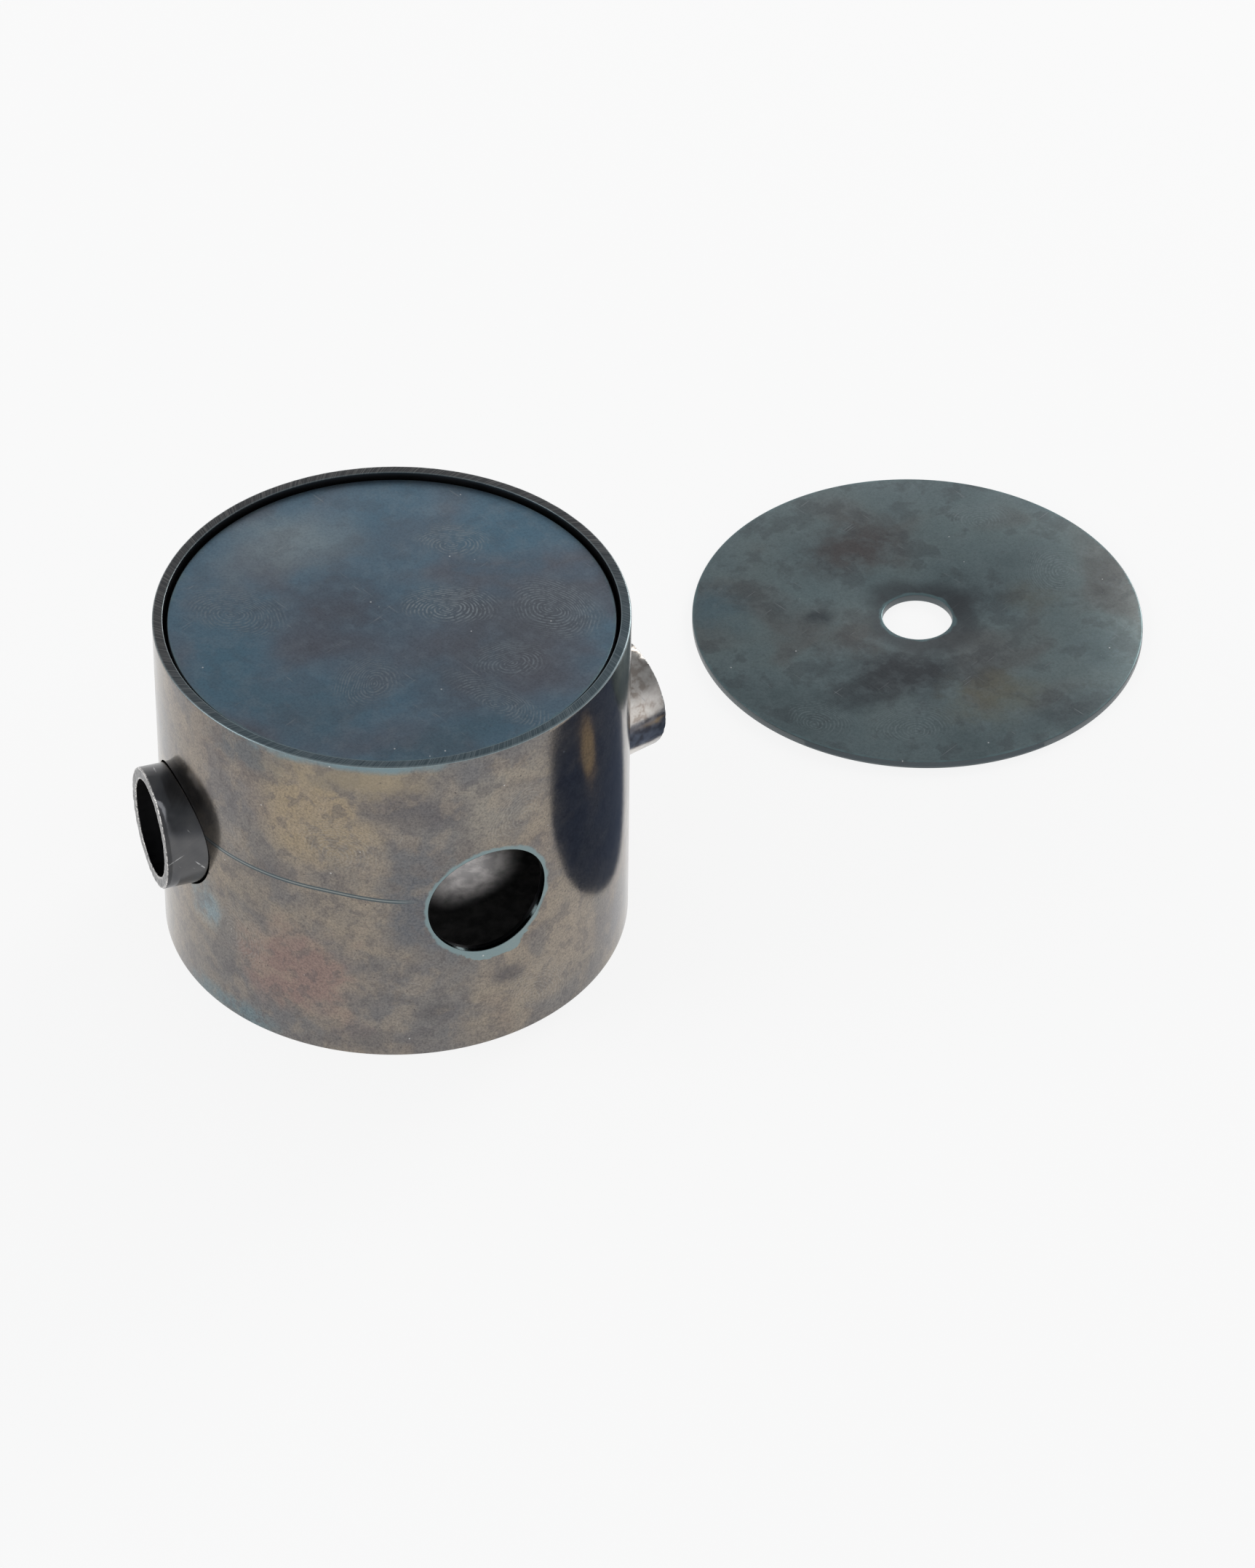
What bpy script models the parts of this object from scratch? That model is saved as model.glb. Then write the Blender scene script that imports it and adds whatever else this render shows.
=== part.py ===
"""Small round coal forge: a tube drum with two air stubs, a loose top plate and a vent plate.

The origin is the centre of the drum's underside. +Z is up along the drum's axis, -Y goes out
through the front hole, and the holes for the air stubs are at -X and +X.
"""
import math

import bmesh
import bpy
from mathutils import Matrix, Vector

# ---------------------------------------------------------------- driving dimensions, in metres
GAP = 0.0003                    # space between pieces that touch or are welded

DRUM_DIAMETER = 0.0761          # outside of the drum's tube
DRUM_WALL = 0.00165
DRUM_HEIGHT = 0.0605
RIM_CHAMFER = 0.0003

FLOOR_THICKNESS = 0.0015

TOP_PLATE_THICKNESS = 0.0015
TOP_PLATE_CLEARANCE = 0.0007    # all round, between the plate's edge and the drum's wall
TOP_PLATE_RECESS = 0.0010       # from the rim down to the plate's upper face
TOP_PLATE_CHAMFER = 0.0002

PORT_HEIGHT = 0.0299            # from the underside to the centres of the three holes
FRONT_HOLE_DIAMETER = 0.0201

TUBE_DIAMETER = 0.0199
TUBE_WALL = 0.0019
TUBE_PROJECTION = 0.0045        # past the drum's outside, on the stub's axis
TUBE_INNER_REACH = 0.0040       # past the drum's inside, on the stub's axis
TUBE_CHAMFER = 0.0002
LEFT_TUBE_LEAN = math.radians(6.0)      # towards the back, away from the front hole
RIGHT_TUBE_LEAN = math.radians(12.0)

VENT_PLATE_DIAMETER = 0.0780
VENT_PLATE_THICKNESS = 0.0014
VENT_HOLE_DIAMETER = 0.0121
VENT_PLATE_CHAMFER = 0.0002
VENT_PLATE_SPACING = 0.0374     # between the drum's outside and the plate's edge
VENT_PLATE_BEARING = math.radians(14.7)  # of the plate's centre, from +X towards +Y

LUG_BEARINGS = (math.radians(-127.4), math.radians(-7.4), math.radians(112.6))
LUG_WIDTH = 0.0060
LUG_DEPTH = 0.0030
LUG_HEIGHT = 0.0050

LUG_WELD_SIZE = (0.0026, 0.0016, 0.0016)
FLOOR_WELD_SIZE = (0.0040, 0.0018, 0.0018)
TUBE_WELD_SIZE = (0.0030, 0.0020, 0.0020)
FLOOR_WELD_BEARINGS = (math.radians(45.0), math.radians(135.0),
                       math.radians(225.0), math.radians(315.0))
TUBE_WELD_TURNS = (math.radians(90.0), math.radians(210.0), math.radians(330.0))

DRUM_SEGMENTS = 96
TUBE_SEGMENTS = 64
HOLE_SEGMENTS = 64

# ---------------------------------------------------------------- sizes worked out from them
drum_radius = DRUM_DIAMETER / 2
inner_radius = drum_radius - DRUM_WALL
top_plate_top = DRUM_HEIGHT - TOP_PLATE_RECESS
top_plate_underside = top_plate_top - TOP_PLATE_THICKNESS
top_plate_radius = inner_radius - TOP_PLATE_CLEARANCE
lug_top = top_plate_underside - GAP
lug_underside = lug_top - LUG_HEIGHT
tube_radius = TUBE_DIAMETER / 2
tube_length = TUBE_PROJECTION + DRUM_WALL + TUBE_INNER_REACH
vent_plate_radius = VENT_PLATE_DIAMETER / 2
vent_plate_reach = drum_radius + VENT_PLATE_SPACING + vent_plate_radius


# ---------------------------------------------------------------- helpers
def steel(name, colour, roughness, metallic):
    """One Principled material."""
    material = bpy.data.materials.new(name)
    material.use_nodes = True
    surface = material.node_tree.nodes["Principled BSDF"]
    surface.inputs["Base Color"].default_value = (*colour, 1.0)
    surface.inputs["Roughness"].default_value = roughness
    surface.inputs["Metallic"].default_value = metallic
    return material


def place(name, mesh, material, matrix, parent=None):
    """Link a mesh as an object, shaded smooth where it is round."""
    mesh.shade_smooth()
    mesh.set_sharp_from_angle(angle=math.radians(30.0))
    piece = bpy.data.objects.new(name, mesh)
    bpy.context.scene.collection.objects.link(piece)
    if material is not None:
        mesh.materials.append(material)
    piece.parent = parent
    piece.matrix_world = matrix
    return piece


def turned(name, section, segments):
    """Mesh turned about Z from a closed section of (radius, height) points.

    The points run up the outer side and down the inner side.
    """
    build = bmesh.new()
    ring = [build.verts.new((radius, 0.0, height)) for radius, height in section]
    edges = [build.edges.new((ring[i - 1], ring[i])) for i in range(len(ring))]
    bmesh.ops.spin(build, geom=ring + edges, cent=(0, 0, 0), axis=(0, 0, 1),
                   angle=2 * math.pi, steps=segments, use_merge=True)
    bmesh.ops.recalc_face_normals(build, faces=build.faces)
    mesh = bpy.data.meshes.new(name)
    build.to_mesh(mesh)
    build.free()
    return mesh


def plain_disc(name, radius, thickness, chamfer, segments):
    """Mesh of a round plate with its lower face at Z = 0 and both edges broken."""
    build = bmesh.new()
    bmesh.ops.create_circle(build, cap_ends=True, radius=radius - chamfer, segments=segments)
    lower = build.faces[:]
    steps = ((radius, chamfer), (radius, thickness - chamfer), (radius - chamfer, thickness))
    face = lower[0]
    for new_radius, height in steps:
        ring = bmesh.ops.extrude_face_region(build, geom=[face])["geom"]
        if face is not lower[0]:
            bmesh.ops.delete(build, geom=[face], context="FACES_ONLY")
        face = next(item for item in ring if isinstance(item, bmesh.types.BMFace))
        for corner in face.verts:
            flat = Vector((corner.co.x, corner.co.y)).normalized() * new_radius
            corner.co = (flat.x, flat.y, height)
    bmesh.ops.recalc_face_normals(build, faces=build.faces)
    mesh = bpy.data.meshes.new(name)
    build.to_mesh(mesh)
    build.free()
    return mesh


def cutter(name, mesh, matrix):
    """A shape that only cuts others."""
    shape = place(name, mesh, None, matrix)
    shape.hide_render = True
    shape.display_type = "WIRE"
    return shape


def rod(name, radius, length, segments):
    """Mesh of a plain cylinder along Z, centred on the origin."""
    build = bmesh.new()
    bmesh.ops.create_cone(build, cap_ends=True, segments=segments, radius1=radius,
                          radius2=radius, depth=length)
    mesh = bpy.data.meshes.new(name)
    build.to_mesh(mesh)
    build.free()
    return mesh


def cut(piece, shape, operation="DIFFERENCE"):
    """Add a Boolean to a piece."""
    step = piece.modifiers.new(shape.name, "BOOLEAN")
    step.operation = operation
    step.solver = "EXACT"
    step.object = shape


def facing(outward, origin):
    """Placement whose Z points along outward, with Y as near world up as it can be."""
    z_axis = outward.normalized()
    x_axis = Vector((0, 0, 1)).cross(z_axis).normalized()
    y_axis = z_axis.cross(x_axis)
    turn = Matrix((x_axis, y_axis, z_axis)).transposed().to_4x4()
    return Matrix.Translation(origin) @ turn


def bead(name, centre, seam, half_sizes, material, parent):
    """An ellipsoid of weld metal lying along a seam, trimmed to the weld space."""
    along = seam.normalized()
    side = Vector((0, 0, 1)) if abs(along.z) < 0.9 else Vector((1, 0, 0))
    across = along.cross(side).normalized()
    up = across.cross(along)
    build = bmesh.new()
    bmesh.ops.create_icosphere(build, subdivisions=2, radius=1.0)
    bmesh.ops.scale(build, vec=half_sizes, verts=build.verts)
    mesh = bpy.data.meshes.new(name)
    build.to_mesh(mesh)
    build.free()
    turn = Matrix((along, across, up)).transposed().to_4x4()
    weld = place(name, mesh, material, Matrix.Translation(centre) @ turn, parent)
    cut(weld, weld_space, "INTERSECT")
    return weld


# ---------------------------------------------------------------- empty the scene
for old in list(bpy.data.objects):
    bpy.data.objects.remove(old, do_unlink=True)

drum_steel = steel("drum_steel", (0.23, 0.20, 0.17), 0.36, 0.85)
floor_steel = steel("floor_steel", (0.05, 0.05, 0.055), 0.50, 0.80)
top_plate_steel = steel("top_plate_steel", (0.10, 0.13, 0.15), 0.34, 0.85)
vent_plate_steel = steel("vent_plate_steel", (0.11, 0.14, 0.14), 0.38, 0.85)
tube_steel = steel("tube_steel", (0.07, 0.07, 0.075), 0.36, 0.85)
lug_steel = steel("lug_steel", (0.08, 0.08, 0.085), 0.45, 0.85)
weld_steel = steel("weld_steel", (0.12, 0.12, 0.13), 0.50, 0.85)

# The plates lift straight up, each from an empty at its own centre.
top_plate_seat = bpy.data.objects.new("top_plate_seat", None)
top_plate_seat.location = (0, 0, top_plate_underside)
vent_plate_place = bpy.data.objects.new("vent_plate_place", None)
vent_plate_place.location = (vent_plate_reach * math.cos(VENT_PLATE_BEARING),
                             vent_plate_reach * math.sin(VENT_PLATE_BEARING), 0)
for holder in (top_plate_seat, vent_plate_place):
    bpy.context.scene.collection.objects.link(holder)
bpy.context.view_layer.update()

# ---------------------------------------------------------------- cutters
# Welds stay in the space below the lugs, off the wall and off the floor plate.
weld_space_bottom = FLOOR_THICKNESS + GAP
weld_space_top = lug_underside - GAP
weld_space = cutter("weld_space", rod("weld_space", inner_radius - GAP,
                                      weld_space_top - weld_space_bottom, DRUM_SEGMENTS),
                    Matrix.Translation((0, 0, (weld_space_top + weld_space_bottom) / 2)))
front_drill = cutter("front_drill", rod("front_drill", FRONT_HOLE_DIAMETER / 2,
                                        DRUM_DIAMETER, HOLE_SEGMENTS),
                     facing(Vector((0, -1, 0)), Vector((0, -drum_radius, PORT_HEIGHT))))

# ---------------------------------------------------------------- drum: a cut length of tube
drum_shell = place("drum_shell", turned("drum_shell", (
    (inner_radius, 0),
    (drum_radius, 0),
    (drum_radius, DRUM_HEIGHT - RIM_CHAMFER),
    (drum_radius - RIM_CHAMFER, DRUM_HEIGHT),
    (inner_radius, DRUM_HEIGHT),
), DRUM_SEGMENTS), drum_steel, Matrix.Identity(4))
cut(drum_shell, front_drill)

# ---------------------------------------------------------------- floor plate, inside the drum
floor_plate = place("floor_plate",
                    plain_disc("floor_plate", inner_radius - GAP, FLOOR_THICKNESS,
                               TOP_PLATE_CHAMFER, DRUM_SEGMENTS),
                    floor_steel, Matrix.Identity(4))

# ---------------------------------------------------------------- air stubs, one each side
for side, sign, lean in (("left", -1, LEFT_TUBE_LEAN), ("right", 1, RIGHT_TUBE_LEAN)):
    root = Vector((sign * drum_radius, 0, PORT_HEIGHT))
    outward = Vector((sign * math.cos(lean), math.sin(lean), 0))
    tube_place = facing(outward, root)
    reach_in = TUBE_PROJECTION - tube_length
    bore = tube_radius - TUBE_WALL
    tube = place(f"air_tube_{side}", turned(f"air_tube_{side}", (
        (bore, reach_in),
        (tube_radius - TUBE_CHAMFER, reach_in),
        (tube_radius, reach_in + TUBE_CHAMFER),
        (tube_radius, TUBE_PROJECTION - TUBE_CHAMFER),
        (tube_radius - TUBE_CHAMFER, TUBE_PROJECTION),
        (bore, TUBE_PROJECTION),
    ), TUBE_SEGMENTS), tube_steel, tube_place)
    clearance = cutter(f"tube_clearance_{side}",
                       rod(f"tube_clearance_{side}", tube_radius + GAP,
                           2 * (tube_length + tube_radius), HOLE_SEGMENTS), tube_place)
    cut(drum_shell, clearance)
    for number, turn in enumerate(TUBE_WELD_TURNS, start=1):
        spoke = tube_place.to_3x3() @ Vector((math.cos(turn), math.sin(turn), 0))
        on_tube = root + spoke * tube_radius
        # Slide along the stub to where it meets the inside of the wall.
        flat_reach = on_tube.x * outward.x + on_tube.y * outward.y
        inside = on_tube.x ** 2 + on_tube.y ** 2 - inner_radius ** 2
        slide = -flat_reach + math.sqrt(flat_reach ** 2 - inside)
        weld = bead(f"tube_weld_{side}_{number}", on_tube + outward * slide,
                    outward.cross(spoke), TUBE_WELD_SIZE, weld_steel, tube)
        cut(weld, clearance)

# ---------------------------------------------------------------- lugs under the top plate
for number, bearing in enumerate(LUG_BEARINGS, start=1):
    outward = Vector((math.cos(bearing), math.sin(bearing), 0))
    back = math.sqrt((inner_radius - GAP) ** 2 - (LUG_WIDTH / 2) ** 2)
    build = bmesh.new()
    bmesh.ops.create_cube(build, size=1.0)
    bmesh.ops.scale(build, vec=(LUG_DEPTH, LUG_WIDTH, LUG_HEIGHT), verts=build.verts)
    bmesh.ops.translate(build, vec=(back - LUG_DEPTH / 2, 0, lug_underside + LUG_HEIGHT / 2),
                        verts=build.verts)
    lug_mesh = bpy.data.meshes.new(f"seat_lug_{number}")
    build.to_mesh(lug_mesh)
    build.free()
    lug = place(f"seat_lug_{number}", lug_mesh, lug_steel, Matrix.Rotation(bearing, 4, "Z"))
    corner = outward * back + Vector((0, 0, lug_underside))
    bead(f"lug_weld_{number}", corner, Vector((-outward.y, outward.x, 0)), LUG_WELD_SIZE,
         weld_steel, lug)

# ---------------------------------------------------------------- welds round the floor plate
for number, bearing in enumerate(FLOOR_WELD_BEARINGS, start=1):
    outward = Vector((math.cos(bearing), math.sin(bearing), 0))
    corner = outward * inner_radius + Vector((0, 0, FLOOR_THICKNESS))
    bead(f"floor_weld_{number}", corner, Vector((-outward.y, outward.x, 0)), FLOOR_WELD_SIZE,
         weld_steel, floor_plate)

# ---------------------------------------------------------------- top plate, loose on the lugs
top_plate = place("top_plate", plain_disc("top_plate", top_plate_radius, TOP_PLATE_THICKNESS,
                                          TOP_PLATE_CHAMFER, DRUM_SEGMENTS),
                  top_plate_steel, top_plate_seat.matrix_world, top_plate_seat)

# ---------------------------------------------------------------- vent plate, beside the drum
vent_hole_radius = VENT_HOLE_DIAMETER / 2
vent_plate = place("vent_plate", turned("vent_plate", (
    (vent_hole_radius + VENT_PLATE_CHAMFER, 0),
    (vent_plate_radius - VENT_PLATE_CHAMFER, 0),
    (vent_plate_radius, VENT_PLATE_CHAMFER),
    (vent_plate_radius, VENT_PLATE_THICKNESS - VENT_PLATE_CHAMFER),
    (vent_plate_radius - VENT_PLATE_CHAMFER, VENT_PLATE_THICKNESS),
    (vent_hole_radius + VENT_PLATE_CHAMFER, VENT_PLATE_THICKNESS),
    (vent_hole_radius, VENT_PLATE_THICKNESS - VENT_PLATE_CHAMFER),
    (vent_hole_radius, VENT_PLATE_CHAMFER),
), DRUM_SEGMENTS), vent_plate_steel, vent_plate_place.matrix_world, vent_plate_place)
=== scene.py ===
"""Small coal forge: a blued steel drum with air stubs, a seated plate and a loose vent plate."""
import math

import bmesh
import bpy
from mathutils import Matrix, Quaternion, Vector, noise


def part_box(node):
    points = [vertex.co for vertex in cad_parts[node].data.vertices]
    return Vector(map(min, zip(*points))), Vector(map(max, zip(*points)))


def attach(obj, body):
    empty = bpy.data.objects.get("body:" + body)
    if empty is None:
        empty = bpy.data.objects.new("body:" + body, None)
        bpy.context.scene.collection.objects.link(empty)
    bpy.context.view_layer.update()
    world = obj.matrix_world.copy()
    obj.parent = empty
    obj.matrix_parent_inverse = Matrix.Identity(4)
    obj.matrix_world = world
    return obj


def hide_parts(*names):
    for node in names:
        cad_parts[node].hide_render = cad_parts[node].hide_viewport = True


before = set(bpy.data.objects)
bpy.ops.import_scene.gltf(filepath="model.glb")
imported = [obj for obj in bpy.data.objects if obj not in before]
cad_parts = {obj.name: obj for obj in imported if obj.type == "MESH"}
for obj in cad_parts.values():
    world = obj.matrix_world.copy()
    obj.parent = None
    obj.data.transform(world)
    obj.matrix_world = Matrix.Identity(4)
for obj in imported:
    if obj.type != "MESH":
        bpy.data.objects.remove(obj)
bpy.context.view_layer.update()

# ------------------------------------------------------------------------------------------
# The studio: a seamless white table that glows a little, so that shadows on it stay faint,
# under a ceiling that is dimmer than the table, and a camera looking down from front left.
FLOOR_REACH = 6.0
FLOOR_DROP = 0.0001
FLOOR_GLOW = 0.850
CAMERA_LENS = 150.3
CAMERA_PLACE = Vector((-0.31267, -0.74645, 0.71432))
CAMERA_PITCH = math.radians(49.56)
CAMERA_HEADING = math.radians(-25.4)
CAMERA_ROLL = math.radians(0.75)

scene = bpy.context.scene
scene.view_settings.view_transform = "Standard"


def clear_selection():
    """Leave nothing selected, in object mode."""
    if bpy.context.object and bpy.context.object.mode != "OBJECT":
        bpy.ops.object.mode_set(mode="OBJECT")
    bpy.ops.object.select_all(action="DESELECT")


clear_selection()
bpy.ops.mesh.primitive_plane_add(size=FLOOR_REACH, location=(0, 0, -FLOOR_DROP))
table = bpy.context.object
table.name = "table_top"
table_white = bpy.data.materials.new("table_white")
table_white.use_nodes = True
table_surface = table_white.node_tree.nodes["Principled BSDF"]
table_surface.inputs["Base Color"].default_value = (0.16, 0.16, 0.16, 1)
table_surface.inputs["Roughness"].default_value = 0.9
table_surface.inputs["Specular IOR Level"].default_value = 0.0
table_surface.inputs["Emission Color"].default_value = (1, 1, 1, 1)
table_surface.inputs["Emission Strength"].default_value = FLOOR_GLOW
table.data.materials.append(table_white)

world = bpy.data.worlds.new("studio")
scene.world = world
world.use_nodes = True
sky = world.node_tree
sky_place = sky.nodes.new("ShaderNodeTexCoord")
sky_split = sky.nodes.new("ShaderNodeSeparateXYZ")
sky_ramp = sky.nodes.new("ShaderNodeValToRGB")
sky.links.new(sky_place.outputs["Generated"], sky_split.inputs[0])
sky.links.new(sky_split.outputs["Z"], sky_ramp.inputs[0])
sky.links.new(sky_ramp.outputs["Color"], sky.nodes["Background"].inputs["Color"])
steps = sky_ramp.color_ramp
steps.interpolation = "EASE"
steps.elements[0].position = 0.0
steps.elements[0].color = (0.93, 0.93, 0.94, 1)
steps.elements[1].position = 0.62
steps.elements[1].color = (0.36, 0.37, 0.38, 1)


def soft_box(name, place, aim, size, power, colour=(1, 1, 1)):
    """A large square lamp pointed at a spot."""
    lamp = bpy.data.lights.new(name, "AREA")
    lamp.size = size
    lamp.energy = power
    lamp.color = colour
    holder = bpy.data.objects.new(name, lamp)
    holder.location = place
    holder.rotation_euler = (Vector(aim) - Vector(place)).to_track_quat("-Z", "Y").to_euler()
    scene.collection.objects.link(holder)


soft_box("left_box", (-0.75, 0.15, 0.45), (0, 0, 0.03), 0.5, 1.6)
soft_box("right_box", (0.85, 0.45, 0.40), (0.05, 0, 0.03), 0.35, 2.4, (1.0, 0.97, 0.93))

# A narrow lamp reaches through the front hole and lights a streak on the floor of the drum.
SNOOT_PLACE = Vector((-0.129, -0.387, 0.320))
SNOOT_AIM = Vector((0.0128, 0.0004, 0.0015))
SNOOT_SPREAD = math.radians(1.7)
SNOOT_ROLL = math.radians(20)
SNOOT_HEIGHT_SHARE = 0.36
SNOOT_POWER = 55.0
SNOOT_SIZE = 0.003
snoot = bpy.data.lights.new("front_snoot", "SPOT")
snoot.energy = SNOOT_POWER
snoot.spot_size = SNOOT_SPREAD
snoot.spot_blend = 1.0
snoot.shadow_soft_size = SNOOT_SIZE
snoot_holder = bpy.data.objects.new("front_snoot", snoot)
snoot_holder.location = SNOOT_PLACE
snoot_way = SNOOT_AIM - SNOOT_PLACE
snoot_turn = snoot_way.to_track_quat("-Z", "Y") @ Quaternion((0, 0, 1), SNOOT_ROLL)
snoot_holder.rotation_euler = snoot_turn.to_euler()
snoot_holder.scale = (1.0, SNOOT_HEIGHT_SHARE, 1.0)
scene.collection.objects.link(snoot_holder)

# A glowing dark card with a gold middle lies on the table to the right, seen only in the drum's
# side: a painted reflection of the vent plate, its hole glowing gold.
CARD_PLACE = Vector((0.0822, -0.0330, 0.0004))
CARD_HOLE = Vector((0.0790, -0.0375, 0.0004))
CARD_RADIUS = 0.0405
CARD_HOLE_SHARE = 0.17
CARD_COLOURS = (("painted_reflection_dark", (0.075, 0.098, 0.150, 1)), ("painted_reflection_gold", (0.560, 0.430, 0.270, 1)))
clear_selection()
bpy.ops.mesh.primitive_circle_add(vertices=96, radius=CARD_RADIUS, location=CARD_PLACE)
card = bpy.context.object
card.name = "painted_reflection_card"
bpy.ops.object.mode_set(mode="EDIT")
bpy.ops.mesh.extrude_edges_move()
bpy.ops.transform.resize(value=(CARD_HOLE_SHARE, CARD_HOLE_SHARE, 1.0),
                         center_override=CARD_PLACE)
bpy.ops.transform.translate(value=CARD_HOLE - CARD_PLACE)
bpy.ops.mesh.edge_face_add()
for _ in CARD_COLOURS:
    card.data.materials.append(None)
card.active_material_index = 1
bpy.ops.object.material_slot_assign()
bpy.ops.object.mode_set(mode="OBJECT")
for index, (name, glow) in enumerate(CARD_COLOURS):
    card_paint = bpy.data.materials.new(name)
    card_paint.use_nodes = True
    card_surface = card_paint.node_tree.nodes["Principled BSDF"]
    card_surface.inputs["Base Color"].default_value = (0.01, 0.01, 0.01, 1)
    card_surface.inputs["Specular IOR Level"].default_value = 0.0
    # The card glows in the painted reflection's colours.
    card_surface.inputs["Emission Color"].default_value = glow
    card_surface.inputs["Emission Strength"].default_value = 1.0
    card.data.materials[index] = card_paint
card.visible_camera = False
card.visible_diffuse = False
card.visible_shadow = False
card.visible_transmission = False

camera_data = bpy.data.cameras.new("camera")
camera_data.lens = CAMERA_LENS
camera_data.sensor_width = 36.0
camera_data.clip_start = 0.01
camera = bpy.data.objects.new("camera", camera_data)
camera.matrix_world = (Matrix.Translation(CAMERA_PLACE) @ Matrix.Rotation(CAMERA_HEADING, 4, "Z")
                       @ Matrix.Rotation(CAMERA_PITCH, 4, "X")
                       @ Matrix.Rotation(CAMERA_ROLL, 4, "Z"))
scene.collection.objects.link(camera)
scene.camera = camera

# ------------------------------------------------------------------------------------------
# The drum's wall: a sawn length of seam-welded steel tube with three holes drilled through it.
# It is blued over a flame and handled since, so brown, slate and straw temper colours lie in
# clouds under finger marks, and the rim shows the saw's teeth.
DRUM_RADIUS = 0.03805
DRUM_WALL = 0.00165
DRUM_HEIGHT = 0.0605
PORT_HEIGHT = 0.0299
FRONT_HOLE_RADIUS = 0.01005
STUB_RADIUS = 0.00995
STUB_CLEARANCE = 0.0003
LEFT_LEAN = math.radians(6.0)
RIGHT_LEAN = math.radians(12.0)
WALL_COLUMNS = 288
WALL_ROWS = 72
RIM_BREAK = 0.00028
HOLE_BREAK = 0.00014
SEAM_BLEND = 0.003
AT_RIM = DRUM_HEIGHT - 0.0001
RIM_UNEVENNESS = 0.00003

# Each hole: where it starts on the wall, the way its drill points out, and its radius.
HOLES = (
    (Vector((0, -DRUM_RADIUS, PORT_HEIGHT)), Vector((0, -1, 0)), FRONT_HOLE_RADIUS),
    (Vector((-DRUM_RADIUS, 0, PORT_HEIGHT)),
     Vector((-math.cos(LEFT_LEAN), math.sin(LEFT_LEAN), 0)), STUB_RADIUS + STUB_CLEARANCE),
    (Vector((DRUM_RADIUS, 0, PORT_HEIGHT)),
     Vector((math.cos(RIGHT_LEAN), math.sin(RIGHT_LEAN), 0)), STUB_RADIUS + STUB_CLEARANCE),
)


def round_the_wall(bearing, height, radius=DRUM_RADIUS):
    """Point on the wall. The bearing runs from the front hole towards the right-hand stub."""
    return Vector((radius * math.sin(bearing), -radius * math.cos(bearing), height))


def off_axis(point, hole):
    """How far a point lies sideways and upwards from a hole's axis."""
    start, outward, _ = hole
    across = Vector((-outward.y, outward.x, 0))
    return (point - start).dot(across), point.z - start.z


def bearing_at(sideways, hole, radius):
    """Bearing at which a circle of that radius is that far sideways of a hole's axis."""
    start, outward, _ = hole
    across = Vector((-outward.y, outward.x, 0))
    bearing = math.atan2(start.x, -start.y)
    for _ in range(8):
        point = Vector((radius * math.sin(bearing), -radius * math.cos(bearing), 0))
        slope = Vector((radius * math.cos(bearing), radius * math.sin(bearing), 0)).dot(across)
        bearing -= ((point - Vector((start.x, start.y, 0))).dot(across) - sideways) / slope
    return bearing


def pick(mesh, test, kind="EDGE"):
    """Select what passes a test in edit mode, and nothing else. Returns how many."""
    bpy.ops.mesh.select_mode(type=kind)
    bpy.ops.mesh.select_all(action="DESELECT")
    build = bmesh.from_edit_mesh(mesh)
    items = {"VERT": build.verts, "EDGE": build.edges, "FACE": build.faces}[kind]
    chosen = [item for item in items if test(item)]
    for item in chosen:
        item.select_set(True)
    bmesh.update_edit_mesh(mesh)
    return len(chosen)


clear_selection()
bpy.ops.mesh.primitive_grid_add(x_subdivisions=WALL_COLUMNS, y_subdivisions=WALL_ROWS, size=1.0)
wall = bpy.context.object
wall.name = "drum_wall"
# Roll the flat sheet into the tube and close its seam at the back.
for corner in wall.data.vertices:
    corner.co = round_the_wall(corner.co.x * 2 * math.pi, (corner.co.y + 0.5) * DRUM_HEIGHT)
cell = DRUM_HEIGHT / WALL_ROWS
bpy.ops.object.mode_set(mode="EDIT")
bpy.ops.mesh.select_all(action="SELECT")
bpy.ops.mesh.remove_doubles(threshold=0.00001)
for hole in HOLES:
    def near_hole(point, reach):
        sideways, up = off_axis(point, hole)
        return point.dot(hole[0] - Vector((0, 0, PORT_HEIGHT))) > 0 and \
            math.hypot(sideways, up) < hole[2] + reach

    pick(wall.data, lambda face: near_hole(face.calc_center_median(), 1.3 * cell), "FACE")
    bpy.ops.mesh.delete(type="FACE")
    pick(wall.data, lambda edge: edge.is_boundary
         and all(near_hole(corner.co, 4 * cell) for corner in edge.verts))
    bpy.ops.mesh.extrude_edges_move()
    build = bmesh.from_edit_mesh(wall.data)
    for corner in build.verts:
        if corner.select:
            sideways, up = off_axis(corner.co, hole)
            turn = math.atan2(up, sideways)
            corner.co = round_the_wall(bearing_at(hole[2] * math.cos(turn), hole, DRUM_RADIUS),
                                       PORT_HEIGHT + hole[2] * math.sin(turn))
    bmesh.update_edit_mesh(wall.data)
bpy.ops.mesh.select_all(action="SELECT")
bpy.ops.mesh.normals_make_consistent(inside=False)
bpy.ops.object.mode_set(mode="OBJECT")
thicken = wall.modifiers.new("wall", "SOLIDIFY")
thicken.thickness = DRUM_WALL
thicken.offset = -1.0
bpy.ops.object.modifier_apply(modifier=thicken.name)
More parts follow.
